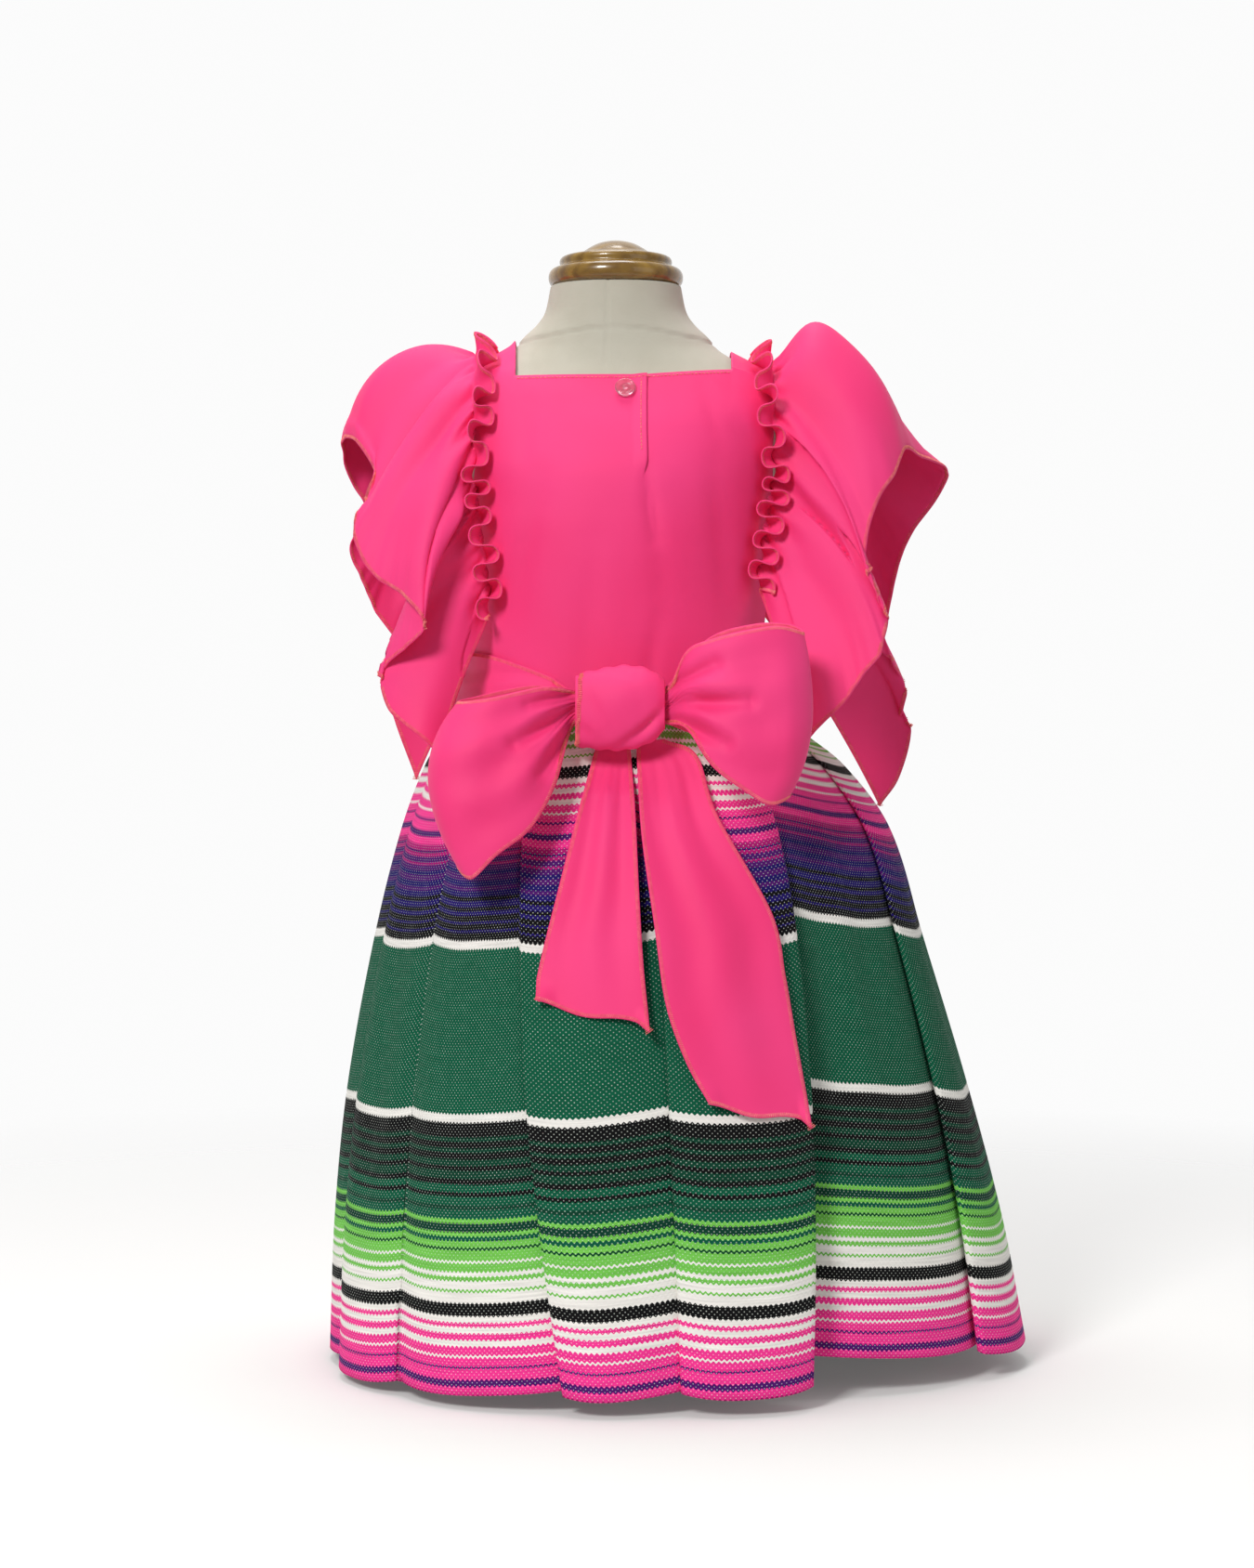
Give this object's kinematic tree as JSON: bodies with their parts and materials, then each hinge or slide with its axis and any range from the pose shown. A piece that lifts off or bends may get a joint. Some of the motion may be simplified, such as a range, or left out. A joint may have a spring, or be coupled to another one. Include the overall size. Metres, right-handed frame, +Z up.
{
  "type": "folklorico dress on a limbless dress form",
  "caption": "Child's folklorico dress on a limbless dress form: pink bodice with gathered flounces and a back bow, pleated serape-striped skirt.",
  "frame": {"origin": "middle of the underside of the stand's round foot, on the surface it stands on", "axes": "+Z up along the form's pole; -Y towards the side in the picture, which is the dress's back with its bow; +X to the right in that view"},
  "size_m": [0.4358, 0.3885, 0.7161],
  "materials": {
    "pink_cloth": "plain-woven polyester crepe, soft sheen",
    "serape_cloth": "coarse weft-faced striped weave, matte",
    "form_cloth": "plain jersey cover, matte",
    "varnished_wood": "turned and varnished, glossy",
    "stand_metal": "powder-coated, satin",
    "clear_plastic": "clear moulded, glossy"
  },
  "bodies": {
    "root": {"form_torso": "form_cloth", "neck_cap": "varnished_wood", "stand_pole": "stand_metal", "stand_foot": "stand_metal", "skirt_back": "serape_cloth", "skirt_front": "serape_cloth", "bodice_back": "pink_cloth", "bodice_front": "pink_cloth", "flounce_left": "pink_cloth", "flounce_right": "pink_cloth", "sash_left": "pink_cloth", "sash_right": "pink_cloth", "bow_loop_left": "pink_cloth", "bow_loop_right": "pink_cloth", "bow_knot": "pink_cloth", "bow_tail_left": "pink_cloth", "bow_tail_right": "pink_cloth", "neck_snap": "clear_plastic"}
  },
  "joints": []
}
